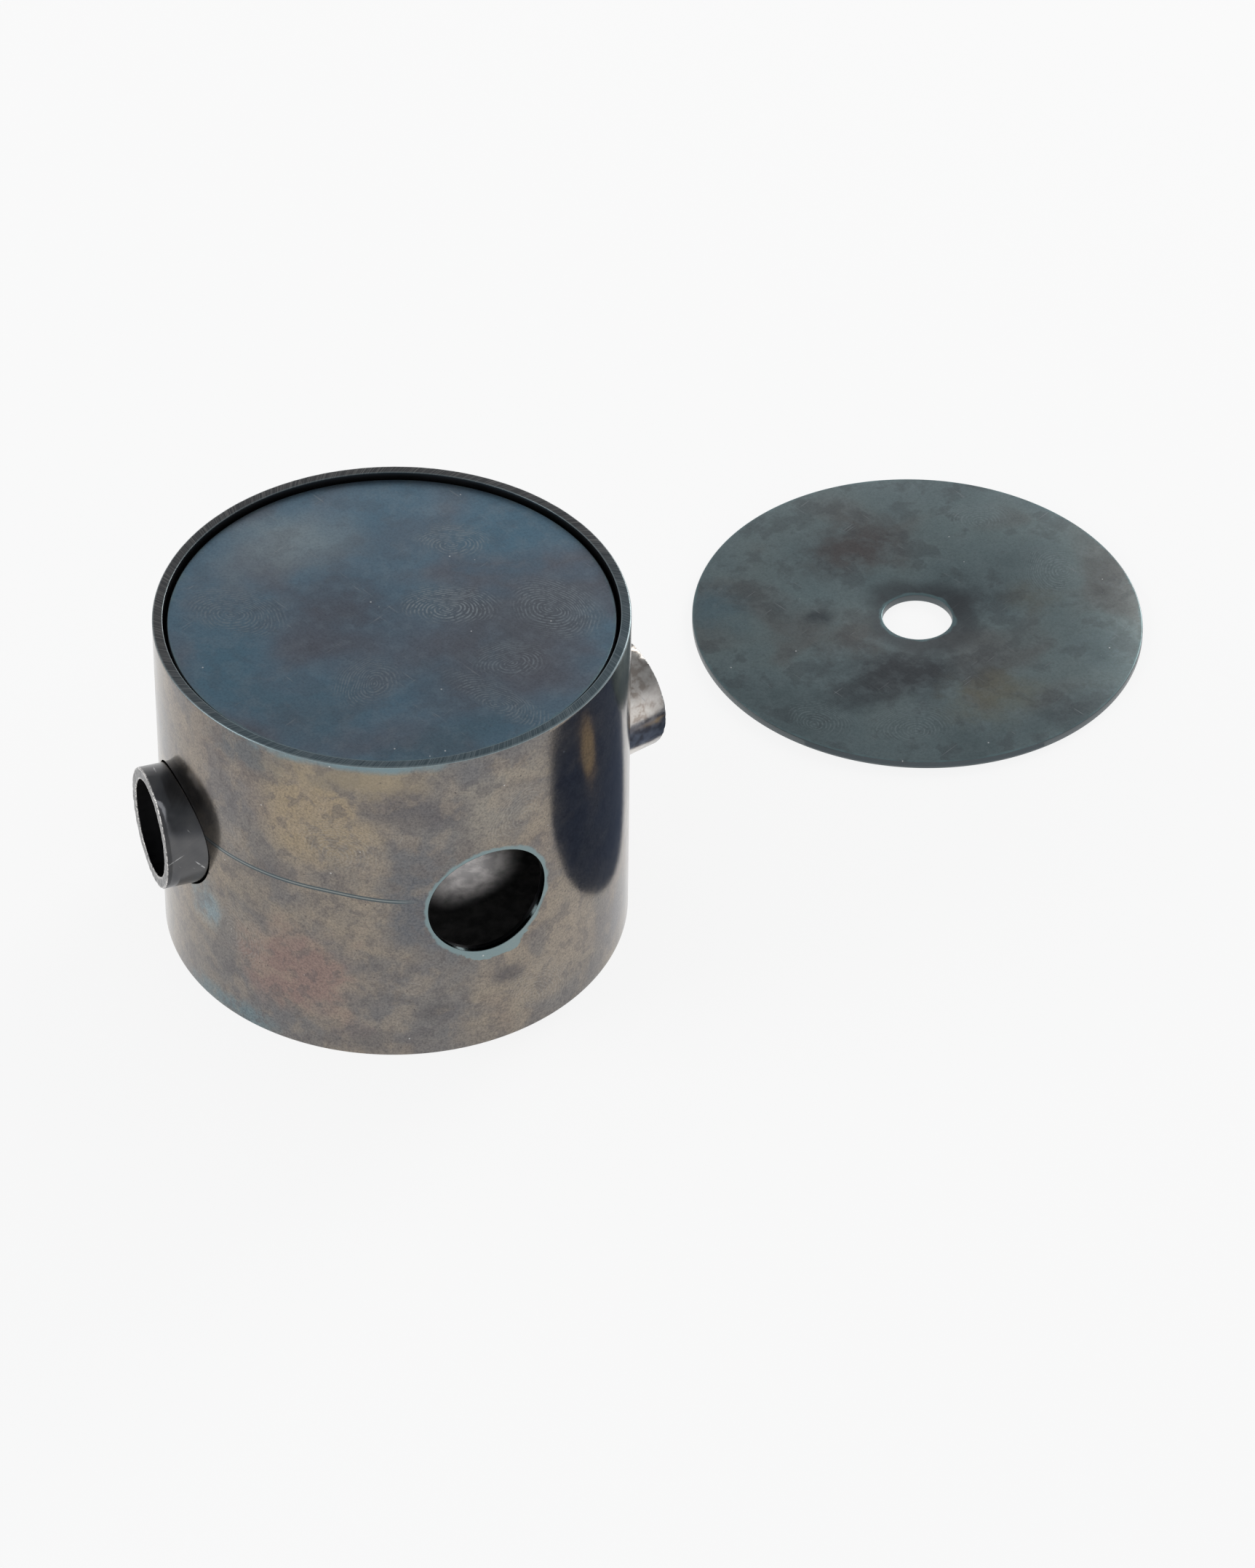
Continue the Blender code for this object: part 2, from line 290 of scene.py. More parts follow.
# Holes are drilled straight through, so the inner edge lies in line with the outer one.
inner_radius = DRUM_RADIUS - DRUM_WALL
for corner in wall.data.vertices:
    if math.hypot(corner.co.x, corner.co.y) > DRUM_RADIUS - DRUM_WALL / 2:
        continue
    bearing = math.atan2(corner.co.x, -corner.co.y)
    outside = round_the_wall(bearing, corner.co.z)
    for hole in HOLES:
        sideways, up = off_axis(outside, hole)
        reach = math.hypot(sideways, up) - hole[2]
        if outside.dot(hole[0] - Vector((0, 0, PORT_HEIGHT))) > 0 and reach < SEAM_BLEND:
            share = 1 - max(reach, 0) / SEAM_BLEND
            bearing += share * (bearing_at(sideways, hole, inner_radius) - bearing)
    corner.co = round_the_wall(bearing, corner.co.z, inner_radius)
bpy.ops.object.mode_set(mode="EDIT")
pick(wall.data, lambda edge: len(edge.link_faces) == 2 and edge.calc_face_angle() > 1.0
     and all(corner.co.z > AT_RIM for corner in edge.verts)
     and edge.verts[0].co.xy.length > DRUM_RADIUS - 0.0002)
bpy.ops.mesh.bevel(offset=RIM_BREAK, segments=2, profile=0.5, affect="EDGES")
pick(wall.data, lambda edge: len(edge.link_faces) == 2 and edge.calc_face_angle() > 1.0)
bpy.ops.mesh.bevel(offset=HOLE_BREAK, segments=2, profile=0.5, affect="EDGES")
bpy.ops.object.mode_set(mode="OBJECT")
# The saw left the rim a few hundredths of a millimetre uneven.
for corner in wall.data.vertices:
    if corner.co.z > AT_RIM:
        corner.co.z -= RIM_UNEVENNESS * (1 + noise.noise(corner.co * 900))
bpy.ops.object.shade_smooth()
even = wall.modifiers.new("even", "WEIGHTED_NORMAL")
even.weight = 80
bpy.ops.object.modifier_apply(modifier=even.name)


def put(tree, kind, values=None, **settings):
    """Add a node. Values are constants, or sockets to link, by input name or number."""
    made = tree.nodes.new(kind)
    for name, value in settings.items():
        setattr(made, name, value)
    for name, value in (values or {}).items():
        if isinstance(value, bpy.types.NodeSocket):
            tree.links.new(value, made.inputs[name])
        else:
            made.inputs[name].default_value = value
    return made


def maths(tree, operation, first, second=0.0, third=0.0):
    """The result of one Math node."""
    return put(tree, "ShaderNodeMath", {0: first, 1: second, 2: third},
               operation=operation).outputs[0]


def fade(tree, value, low, high):
    """0 at low and 1 at high, with soft ends."""
    return put(tree, "ShaderNodeMapRange", {"Value": value, "From Min": low, "From Max": high},
               interpolation_type="SMOOTHSTEP").outputs[0]


def blend(tree, share, first, second, mode="MIX"):
    """Two colours mixed."""
    return put(tree, "ShaderNodeMix", {0: share, 6: first, 7: second},
               data_type="RGBA", blend_type=mode).outputs[2]


def palette(tree, value, *colours):
    """A colour ramp from (position, red, green, blue) stops."""
    ramp = put(tree, "ShaderNodeValToRGB", {0: value})
    stops = ramp.color_ramp.elements
    while len(stops) < len(colours):
        stops.new(0.5)
    for stop, (position, *colour) in zip(stops, colours):
        stop.position = position
        stop.color = (*colour, 1)
    return ramp.outputs["Color"]


def times(tree, first, second):
    """A product."""
    return maths(tree, "MULTIPLY", first, second)


def plus(tree, first, second):
    """A sum."""
    return maths(tree, "ADD", first, second)


def minus(tree, first, second):
    """A difference."""
    return maths(tree, "SUBTRACT", first, second)


def vectors(tree, operation, first, second=(0, 0, 0)):
    """The result of one Vector Math node, or the length of a vector."""
    made = put(tree, "ShaderNodeVectorMath", {0: first, 1: second}, operation=operation)
    return made.outputs["Value" if operation == "LENGTH" else "Vector"]


def dab(tree, colour, mask, share, tint):
    """A tint laid over a colour where a mask says, and at most at its share."""
    return blend(tree, times(tree, mask, share), colour, (*tint, 1))


def effect(name, inputs, outputs):
    """A new shader node group with its two ends."""
    group = bpy.data.node_groups.new(name, "ShaderNodeTree")
    for label, kind, value in inputs:
        socket = group.interface.new_socket(label, in_out="INPUT", socket_type=kind)
        socket.default_value = value
    for label in outputs:
        group.interface.new_socket(label, in_out="OUTPUT", socket_type="NodeSocketFloat")
    start = group.nodes.new("NodeGroupInput").outputs
    end = group.nodes.new("NodeGroupOutput").inputs
    return group, start, end


VECTOR, NUMBER = "NodeSocketVector", "NodeSocketFloat"

# Temper colours lie in clouds, with smaller mottling in them and tiny dark specks.
clouds, start, end = effect("temper_clouds", (("Place", VECTOR, (0, 0, 0)),
                                              ("Size", NUMBER, 0.012)),
                            ("Broad", "Mottle", "Grain"))
tight = maths(clouds, "DIVIDE", 1.0, start["Size"])
for label, factor, detail, rough, warp in (("Broad", 1.0, 2.5, 0.5, 0.35),
                                           ("Mottle", 4.5, 4.0, 0.55, 0.2),
                                           ("Grain", 60.0, 3.0, 0.7, 0.0)):
    cloud = put(clouds, "ShaderNodeTexNoise", {"Vector": start["Place"],
                                               "Scale": times(clouds, tight, factor),
                                               "Detail": detail, "Roughness": rough,
                                               "Distortion": warp})
    clouds.links.new(fade(clouds, cloud.outputs[0], 0.25, 0.75), end[label])

# A finger mark: an oval patch of skin ridges just under half a millimetre apart, looped and
# broken.
RIDGE_SPACING = 0.00045
finger, start, end = effect("finger_mark", (("Place", VECTOR, (0, 0, 0)),
                                            ("Centre", VECTOR, (0, 0, 0)),
                                            ("Turn", NUMBER, 0.0),
                                            ("Length", NUMBER, 0.009),
                                            ("Width", NUMBER, 0.006)), ("Patch", "Ridges"))
moved = vectors(finger, "SUBTRACT", start["Place"], start["Centre"])
turned = put(finger, "ShaderNodeVectorRotate", {"Vector": moved, "Angle": start["Turn"]},
             rotation_type="Z_AXIS").outputs[0]
parts = put(finger, "ShaderNodeSeparateXYZ", {0: turned}).outputs
long_share = maths(finger, "DIVIDE", parts[0], start["Length"])
wide_share = maths(finger, "DIVIDE", parts[1], start["Width"])
oval = put(finger, "ShaderNodeCombineXYZ", {0: long_share, 1: wide_share}).outputs[0]
reach = vectors(finger, "LENGTH", oval)
ragged = put(finger, "ShaderNodeTexNoise", {"Vector": turned, "Scale": 330.0, "Detail": 3.0})
reach = plus(finger, reach, times(finger, ragged.outputs[0], 0.5))
finger.links.new(fade(finger, reach, 1.25, 0.75), end["Patch"])
wander = put(finger, "ShaderNodeTexNoise", {"Vector": turned, "Scale": 110.0, "Detail": 1.0})
wavering = plus(finger, parts[1], times(finger, wander.outputs[0], 0.004))
loop = put(finger, "ShaderNodeCombineXYZ", {0: times(finger, parts[0], 0.70), 1: wavering})
wave = maths(finger, "SINE", times(finger, vectors(finger, "LENGTH", loop.outputs[0]),
                                   2 * math.pi / RIDGE_SPACING))
gaps = put(finger, "ShaderNodeTexNoise", {"Vector": turned, "Scale": 1400.0, "Detail": 2.0})
broken = fade(finger, gaps.outputs[0], 0.35, 0.6)
finger.links.new(times(finger, fade(finger, wave, -0.3, 0.8), broken), end["Ridges"])

# Hair-fine rubbing lines in one direction, in patches.
rubs, start, end = effect("rubbed_lines", (("Place", VECTOR, (0, 0, 0)),
                                           ("Turn", NUMBER, 0.0)), ("Lines", "Scratches"))
turned = put(rubs, "ShaderNodeVectorRotate", {"Vector": start["Place"], "Angle": start["Turn"]},
             rotation_type="Z_AXIS").outputs[0]
for label, stretch, detail, low, high in (("Lines", (90.0, 7000.0, 90.0), 3.0, 0.3, 0.7),
                                          ("Scratches", (140.0, 2600.0, 140.0), 1.0, 0.70, 0.76)):
    drawn = put(rubs, "ShaderNodeTexNoise", {"Vector": vectors(rubs, "MULTIPLY", turned, stretch),
                                             "Scale": 1.0, "Detail": detail})
    rubs.links.new(fade(rubs, drawn.outputs[0], low, high), end[label])

# Dust and lint that has settled, and small dark pits in the skin of the steel.
motes, start, end = effect("dust_and_pits", (("Place", VECTOR, (0, 0, 0)),), ("Dust", "Pits"))
for label, scale, low, high in (("Dust", 260.0, 0.045, 0.03), ("Pits", 900.0, 0.15, 0.08)):
    dots = put(motes, "ShaderNodeTexVoronoi", {"Vector": start["Place"], "Scale": scale})
    parts = put(motes, "ShaderNodeSeparateColor", {0: dots.outputs["Color"]}).outputs
    few = maths(motes, "GREATER_THAN", parts[0], 0.55)
    motes.links.new(times(motes, fade(motes, dots.outputs["Distance"], low, high), few),
                    end[label])


def steel(name):
    """A new material, its node tree, its Principled node and its object coordinates."""
    material = bpy.data.materials.new(name)
    material.use_nodes = True
    tree = material.node_tree
    surface = tree.nodes["Principled BSDF"]
    surface.inputs["Metallic"].default_value = 1.0
    place = put(tree, "ShaderNodeTexCoord").outputs["Object"]
    return material, tree, surface, place


def use(tree, group, **values):
    """The outputs of a node group placed with its own values."""
    return put(tree, "ShaderNodeGroup", values, node_tree=group).outputs


def finish_surface(tree, surface, colour, shine, relief, strength, depth):
    """Link a colour, a roughness and a relief to the surface."""
    tree.links.new(colour, surface.inputs["Base Color"])
    tree.links.new(shine, surface.inputs["Roughness"])
    bump = put(tree, "ShaderNodeBump", {"Height": relief, "Strength": strength, "Distance": depth})
    tree.links.new(bump.outputs[0], surface.inputs["Normal"])


def unrolled(tree, place):
    """Coordinates along and up the drum's wall, and the distance from its axis."""
    x, y, z = put(tree, "ShaderNodeSeparateXYZ", {0: place}).outputs
    bearing = maths(tree, "ARCTAN2", x, times(tree, y, -1.0))
    along = times(tree, bearing, DRUM_RADIUS)
    flat = put(tree, "ShaderNodeCombineXYZ", {0: along, 1: z}).outputs[0]
    reach = maths(tree, "SQRT", plus(tree, times(tree, x, x), times(tree, y, y)))
    return flat, bearing, z, reach


def soft_oval(tree, flat, centre, size, ragged, outer, inner):
    """An oval patch that fades from inner to outer, with an edge a noise value makes ragged."""
    moved = vectors(tree, "SUBTRACT", flat, (*centre, 0))
    stretched = vectors(tree, "MULTIPLY", moved, (1 / size[0], 1 / size[1], 0))
    return fade(tree, plus(tree, vectors(tree, "LENGTH", stretched), ragged), outer, inner)


def patch_at(tree, flat, bearing_degrees, height, long_way, high_way, ragged):
    """A soft oval patch on the wall."""
    return soft_oval(tree, flat, (math.radians(bearing_degrees) * DRUM_RADIUS, height),
                     (long_way, high_way), times(tree, ragged, 0.8), 1.35, 0.55)


def marks(tree, flat, colour, shine, places, strength=1.0, tint=(0.34, 0.37, 0.40)):
    """Finger marks over a colour and a roughness.

    Each place: x, y, turn, length, width and, where it isn't 1, how clear the mark is.
    """
    for x, y, turn, length, width, *clear in places:
        mark = use(tree, finger, Place=flat, Centre=(x, y, 0), Turn=math.radians(turn),
                   Length=length, Width=width)
        ridges = times(tree, mark["Patch"], mark["Ridges"])
        weight = strength * (clear[0] if clear else 1.0)
        between = [0.45 * part for part in tint]
        colour = dab(tree, colour, mark["Patch"], 0.15 * weight, between)
        colour = dab(tree, colour, ridges, 0.52 * weight, tint)
        shine = plus(tree, shine, times(tree, ridges, 0.08))
    return colour, shine


drum_steel, tree, surface, place = steel("blued_drum_steel")
flat, bearing, height, reach = unrolled(tree, place)
cloud = use(tree, clouds, Place=place, Size=0.022)
second = put(tree, "ShaderNodeMapping", {"Vector": place, "Location": (0.31, 0.12, 0.47)})
veil = use(tree, clouds, Place=second.outputs[0], Size=0.011)
colour = palette(tree, cloud["Broad"], (0.0, 0.170, 0.168, 0.170), (0.35, 0.215, 0.192, 0.170),
                 (0.65, 0.255, 0.222, 0.185), (1.0, 0.225, 0.188, 0.160))
# Each patch: bearing in degrees, height, width, depth, share, colour. First the large clouds,
# then the blue-grey where the flame lingered, then the dark blotches.
ragged = plus(tree, times(tree, veil["Broad"], 0.6), times(tree, veil["Mottle"], 0.4))
for patch_bearing, patch_height, wide, high, share, tint in (
        (-42, 0.0480, 0.0130, 0.0120, 0.75, (0.330, 0.262, 0.175)),
        (2, 0.0500, 0.0130, 0.0100, 0.60, (0.300, 0.270, 0.225)),
        (-14, 0.0320, 0.0110, 0.0180, 0.95, (0.122, 0.130, 0.145)),
        (-48, 0.0150, 0.0190, 0.0140, 0.80, (0.235, 0.162, 0.150)),
        (22, 0.0140, 0.0120, 0.0120, 0.55, (0.290, 0.250, 0.210)),
        (-66, 0.0450, 0.0100, 0.0160, 0.50, (0.190, 0.190, 0.200)),
        (-75, 0.0200, 0.0060, 0.0070, 0.85, (0.200, 0.270, 0.300)),
        (-66, 0.0010, 0.0150, 0.0045, 0.80, (0.140, 0.200, 0.225)),
        (-61, 0.0580, 0.0110, 0.0060, 0.75, (0.110, 0.128, 0.145)),
        (-23.5, 0.0523, 0.0070, 0.0050, 0.75, (0.110, 0.108, 0.118)),
        (-11.5, 0.0500, 0.0060, 0.0045, 0.70, (0.115, 0.112, 0.122)),
        (-53, 0.0352, 0.0060, 0.0050, 0.50, (0.125, 0.118, 0.125)),
        (5, 0.0132, 0.0045, 0.0030, 0.75, (0.095, 0.090, 0.098)),
        (-13, 0.0087, 0.0055, 0.0030, 0.65, (0.105, 0.100, 0.104)),
        (-30, 0.0190, 0.0040, 0.0035, 0.50, (0.110, 0.105, 0.112)),
        (-34, 0.0030, 0.0100, 0.0035, 0.55, (0.115, 0.115, 0.125)),
        (46, 0.0080, 0.0120, 0.0080, 0.55, (0.105, 0.115, 0.135)),
        (120, 0.0400, 0.0200, 0.0150, 0.60, (0.130, 0.138, 0.155)),
        (165, 0.0220, 0.0180, 0.0160, 0.55, (0.295, 0.240, 0.175)),
        (-150, 0.0450, 0.0180, 0.0140, 0.55, (0.140, 0.150, 0.170)),
        (-125, 0.0180, 0.0160, 0.0130, 0.50, (0.205, 0.165, 0.155)),
        (75, 0.0150, 0.0140, 0.0110, 0.50, (0.180, 0.180, 0.195))):
    mask = patch_at(tree, flat, patch_bearing, patch_height, wide, high, ragged)
    colour = dab(tree, colour, mask, share, tint)
# Small dark clouds everywhere, and a fine speckle.
colour = dab(tree, colour, fade(tree, veil["Broad"], 0.50, 0.85), 0.50, (0.135, 0.138, 0.150))
colour = dab(tree, colour, fade(tree, veil["Mottle"], 0.52, 0.80), 0.42, (0.115, 0.108, 0.114))
colour = dab(tree, colour, fade(tree, cloud["Mottle"], 0.45, 0.90), 0.32, (0.330, 0.275, 0.215))
speckle = palette(tree, cloud["Grain"], (0.0, 0.70, 0.70, 0.72), (0.5, 1.0, 1.0, 1.0),
                  (1.0, 1.25, 1.23, 1.20))
colour = blend(tree, 1.0, colour, speckle, "MULTIPLY")
# Straw yellow below the rim at front left, with a blue line above it.
mask = patch_at(tree, flat, -34, 0.0575, 0.0150, 0.0050, ragged)
colour = dab(tree, colour, mask, 0.48, (0.345, 0.280, 0.175))
mask = patch_at(tree, flat, -32, 0.0602, 0.0220, 0.0016, ragged)
colour = dab(tree, colour, mask, 0.85, (0.170, 0.265, 0.305))
# A pale blue-green ring where drilling and filing bared the edge of the front hole.
hole_reach = vectors(tree, "LENGTH", vectors(tree, "SUBTRACT", flat, (0, PORT_HEIGHT, 0)))
drip = patch_at(tree, flat, 3, 0.0195, 0.0075, 0.0030, ragged)
hole_reach = plus(tree, hole_reach, times(tree, veil["Mottle"], 0.0005))
hole_reach = minus(tree, hole_reach, times(tree, drip, 0.0020))
ring = fade(tree, hole_reach, FRONT_HOLE_RADIUS + 0.0013, FRONT_HOLE_RADIUS + 0.0008)
colour = dab(tree, colour, ring, 0.85, (0.205, 0.290, 0.305))
rub = use(tree, rubs, Place=flat, Turn=0.25)
other = use(tree, rubs, Place=flat, Turn=1.9)
colour = dab(tree, colour, rub["Lines"], 0.08, (0.36, 0.33, 0.29))
scratches = times(tree, plus(tree, rub["Scratches"], other["Scratches"]),
                  fade(tree, cloud["Mottle"], 0.60, 0.9))
colour = dab(tree, colour, scratches, 0.22, (0.46, 0.44, 0.41))
dots = use(tree, motes, Place=place)
colour = dab(tree, colour, dots["Pits"], times(tree, fade(tree, cloud["Mottle"], 0.4, 0.8), 0.75),
             (0.050, 0.046, 0.050))
colour = dab(tree, colour, dots["Dust"], 0.5, (0.75, 0.74, 0.72))
shine = plus(tree, 0.120, times(tree, cloud["Mottle"], 0.05))
colour, shine = marks(tree, flat, colour, shine, (
    (math.radians(14.3) * DRUM_RADIUS, 0.0078, 40, 0.0090, 0.0060),
    (math.radians(-63) * DRUM_RADIUS, 0.0187, 70, 0.0080, 0.0060),
    (math.radians(-36) * DRUM_RADIUS, 0.0440, 20, 0.0090, 0.0060),
    (math.radians(7) * DRUM_RADIUS, 0.0470, -35, 0.0080, 0.0055),
    (math.radians(160) * DRUM_RADIUS, 0.0400, 15, 0.0090, 0.0060),
    (math.radians(-140) * DRUM_RADIUS, 0.0250, -30, 0.0090, 0.0060)), 0.45, (0.40, 0.385, 0.36))
# A pair of lines is scribed from the left stub to the front hole, dipping a little on the way.
SCRIBED_HEIGHT = 0.0340
SCRIBED_DIP = 0.0014
SCRIBED_HALF_GAP = 0.00026
dip = fade(tree, bearing, math.radians(-42), math.radians(-18))
line_height = minus(tree, SCRIBED_HEIGHT, times(tree, dip, SCRIBED_DIP))
off_centre = maths(tree, "ABSOLUTE", minus(tree, height, line_height))
scribed = times(tree, fade(tree, bearing, math.radians(-17), math.radians(-24)),
                fade(tree, bearing, math.radians(-80), math.radians(-76)))
off_line = maths(tree, "ABSOLUTE", minus(tree, off_centre, SCRIBED_HALF_GAP))
line = times(tree, fade(tree, off_line, 0.00017, 0.00009), scribed)
between = times(tree, fade(tree, off_centre, 0.00045, 0.00030), scribed)
colour = dab(tree, colour, between, 0.60, (0.240, 0.290, 0.300))
colour = dab(tree, colour, line, 0.85, (0.055, 0.075, 0.085))
# Above the rim's edge the colours end: the sawn rim is dark blue-grey, warmer at the back,
# with pale edges and teeth marks across it, and the inside is sooty.
sawn = fade(tree, height, DRUM_HEIGHT - 0.00035, DRUM_HEIGHT - 0.00015)
slant = plus(tree, times(tree, bearing, DRUM_RADIUS), times(tree, reach, 0.6))
over_rim = put(tree, "ShaderNodeCombineXYZ", {0: reach, 1: slant}).outputs[0]
teeth = use(tree, rubs, Place=over_rim, Turn=0.0)
rim = palette(tree, teeth["Lines"], (0.15, 0.095, 0.130, 0.150), (0.6, 0.135, 0.180, 0.205),
              (0.95, 0.220, 0.265, 0.285))
warm_rim = palette(tree, teeth["Lines"], (0.15, 0.085, 0.082, 0.084),
                   (0.6, 0.125, 0.118, 0.116), (0.95, 0.235, 0.220, 0.210))
at_back = fade(tree, maths(tree, "ABSOLUTE", bearing), math.radians(55), math.radians(105))
rim = blend(tree, times(tree, at_back, 0.85), rim, warm_rim)
outer_edge = fade(tree, reach, DRUM_RADIUS - 0.00032, DRUM_RADIUS - 0.00018)
inner_edge = fade(tree, reach, inner_radius + 0.00022, inner_radius + 0.00012)
edges = maths(tree, "MAXIMUM", outer_edge, inner_edge)
edges = times(tree, edges, minus(tree, 0.55, times(tree, at_back, 0.25)))
rim = blend(tree, edges, rim, (0.330, 0.405, 0.425, 1))
colour = blend(tree, sawn, colour, rim)
inside = fade(tree, reach, DRUM_RADIUS - 0.0006, DRUM_RADIUS - 0.0010)
sooty = times(tree, inside, minus(tree, 1.0, sawn))
colour = blend(tree, sooty, colour, (0.085, 0.085, 0.092, 1))
shine = plus(tree, shine, times(tree, sawn, 0.18))
shine = plus(tree, shine, times(tree, sooty, 0.22))
relief = plus(tree, times(tree, veil["Grain"], 0.06), times(tree, line, -1.0))
relief = plus(tree, relief, times(tree, scratches, -0.2))
relief = plus(tree, relief, times(tree, times(tree, teeth["Lines"], sawn), 0.45))
finish_surface(tree, surface, colour, shine, relief, 0.30, 0.00004)
wall.data.materials.append(drum_steel)
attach(wall, "drum")
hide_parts("drum_shell")


SMOOTH_ANGLE = math.radians(50)
# A spun section starts and ends a hair off the axis, and those points are then merged there.
ON_AXIS = 0.000001


def turned_piece(name, section, segments, matrix=Matrix()):
    """Spin a closed section of (radius, height) points round its axis and put it in place."""
    clear_selection()
    bpy.ops.mesh.primitive_circle_add(vertices=len(section), radius=0.01)
    piece = bpy.context.object
    piece.name = name
    for corner, (radius, height) in zip(piece.data.vertices, section):
        corner.co = (radius, 0, height)
    bpy.ops.object.mode_set(mode="EDIT")
    bpy.ops.mesh.select_all(action="SELECT")
    bpy.ops.mesh.spin(steps=segments, angle=2 * math.pi, center=(0, 0, 0), axis=(0, 0, 1))
    bpy.ops.mesh.select_all(action="SELECT")
    bpy.ops.mesh.remove_doubles(threshold=2 * ON_AXIS)
    bpy.ops.mesh.normals_make_consistent(inside=False)
    bpy.ops.object.mode_set(mode="OBJECT")
    piece.data.transform(matrix)
    bpy.ops.object.shade_smooth_by_angle(angle=SMOOTH_ANGLE)
    return piece


def rounded(radius, low, high, turn, outer=True, steps=3, loops=()):
    """Section points up one side of a piece whose two edges are rounded off by turn.

    Loops are heights of further points between them.
    """
    side = 1 if outer else -1
    points = []
    for centre, first in ((low + turn, -90), (high - turn, 0)):
        for step in range(steps + 1):
            angle = math.radians(first + 90 * step / steps)
            points.append((radius - side * turn + side * turn * math.cos(angle),
                           centre + turn * math.sin(angle)))
        if first == -90:
            points += [(radius, height) for height in loops]
    return points if outer else points[::-1]


# ------------------------------------------------------------------------------------------
# The floor plate: a plain disc of sheet steel pushed into the foot of the drum and tacked
# there. It has seen fire, so it is dull black with a little ash-grey dust.
FLOOR_RADIUS = 0.0361
FLOOR_THICKNESS = 0.0015
SHEET_EDGE = 0.0002

section = [(ON_AXIS, 0.0)] + rounded(FLOOR_RADIUS, 0.0, FLOOR_THICKNESS, SHEET_EDGE)
section += [(ON_AXIS, FLOOR_THICKNESS)]
floor_disc = turned_piece("floor_disc", section, 144)
soot_steel, tree, surface, place = steel("sooty_floor_steel")
surface.inputs["Metallic"].default_value = 0.0
cloud = use(tree, clouds, Place=place, Size=0.010)
colour = palette(tree, cloud["Mottle"], (0.2, 0.110, 0.106, 0.106), (0.8, 0.200, 0.192, 0.188))
dots = use(tree, motes, Place=place)
colour = dab(tree, colour, dots["Dust"], 0.7, (0.30, 0.27, 0.25))
shine = plus(tree, 0.36, times(tree, cloud["Broad"], 0.15))
finish_surface(tree, surface, colour, shine, cloud["Grain"], 0.4, 0.00005)
floor_disc.data.materials.append(soot_steel)
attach(floor_disc, "drum")
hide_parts("floor_plate")

# ------------------------------------------------------------------------------------------
# The air stubs: two short lengths of thick-walled pipe, hacksawn by hand, so their ends are
# a little out of square with a bright burr, and pushed through the side holes slightly askew.
STUB_WALL = 0.0019
STUB_PROJECTION = 0.0045
STUB_REACH_IN = 0.00565
STUB_EDGE = 0.00018
STUB_AREAS = ("bare", "burr", "sooty", "painted_highlight")

stub_steel, tree, surface, place = steel("black_stub_steel")
cloud = use(tree, clouds, Place=place, Size=0.008)
on_end = put(tree, "ShaderNodeMapping", {"Vector": place, "Rotation": (math.radians(90), 0, 0)})
rub = use(tree, rubs, Place=on_end.outputs[0], Turn=0.5)
other = use(tree, rubs, Place=on_end.outputs[0], Turn=2.2)
colour = palette(tree, cloud["Broad"], (0.1, 0.050, 0.051, 0.055), (0.5, 0.080, 0.082, 0.088),
                 (0.95, 0.130, 0.129, 0.130))
# On the right stub, near the drum, a warm pale colour is a painted highlight, standing for light
# reflected from the right. Attributes on the mesh say where that is, and where the sawn end, its
# burred edges and the sooty bore are.
bare, burr, sooty, painted_highlight = (
    put(tree, "ShaderNodeAttribute", attribute_name=name).outputs["Fac"]
    for name in STUB_AREAS)
warm = palette(tree, cloud["Mottle"], (0.2, 0.420, 0.370, 0.330), (0.45, 0.600, 0.560, 0.520),
               (0.9, 0.740, 0.710, 0.670))
colour = blend(tree, painted_highlight, colour, warm)
scratches = times(tree, plus(tree, rub["Scratches"], other["Scratches"]),
                  fade(tree, cloud["Mottle"], 0.40, 0.7))
colour = dab(tree, colour, rub["Lines"], 0.06, (0.22, 0.22, 0.22))
colour = dab(tree, colour, scratches, 0.80, (0.45, 0.45, 0.45))
end_grain = use(tree, clouds, Place=place, Size=0.0016)
end_colour = palette(tree, end_grain["Mottle"], (0.2, 0.050, 0.050, 0.052),
                     (0.6, 0.115, 0.115, 0.118), (0.95, 0.240, 0.238, 0.235))
burr_colour = palette(tree, end_grain["Mottle"], (0.3, 0.20, 0.20, 0.20),
                      (0.7, 0.62, 0.60, 0.58))
colour = blend(tree, bare, colour, end_colour)
colour = blend(tree, burr, colour, burr_colour)
colour = blend(tree, sooty, colour, (0.030, 0.030, 0.032, 1))
shine = plus(tree, 0.17, times(tree, cloud["Mottle"], 0.08))
shine = plus(tree, shine, times(tree, sooty, 0.3))
relief = plus(tree, times(tree, end_grain["Mottle"], bare), times(tree, scratches, -0.3))
finish_surface(tree, surface, colour, shine, relief, 0.4, 0.00005)

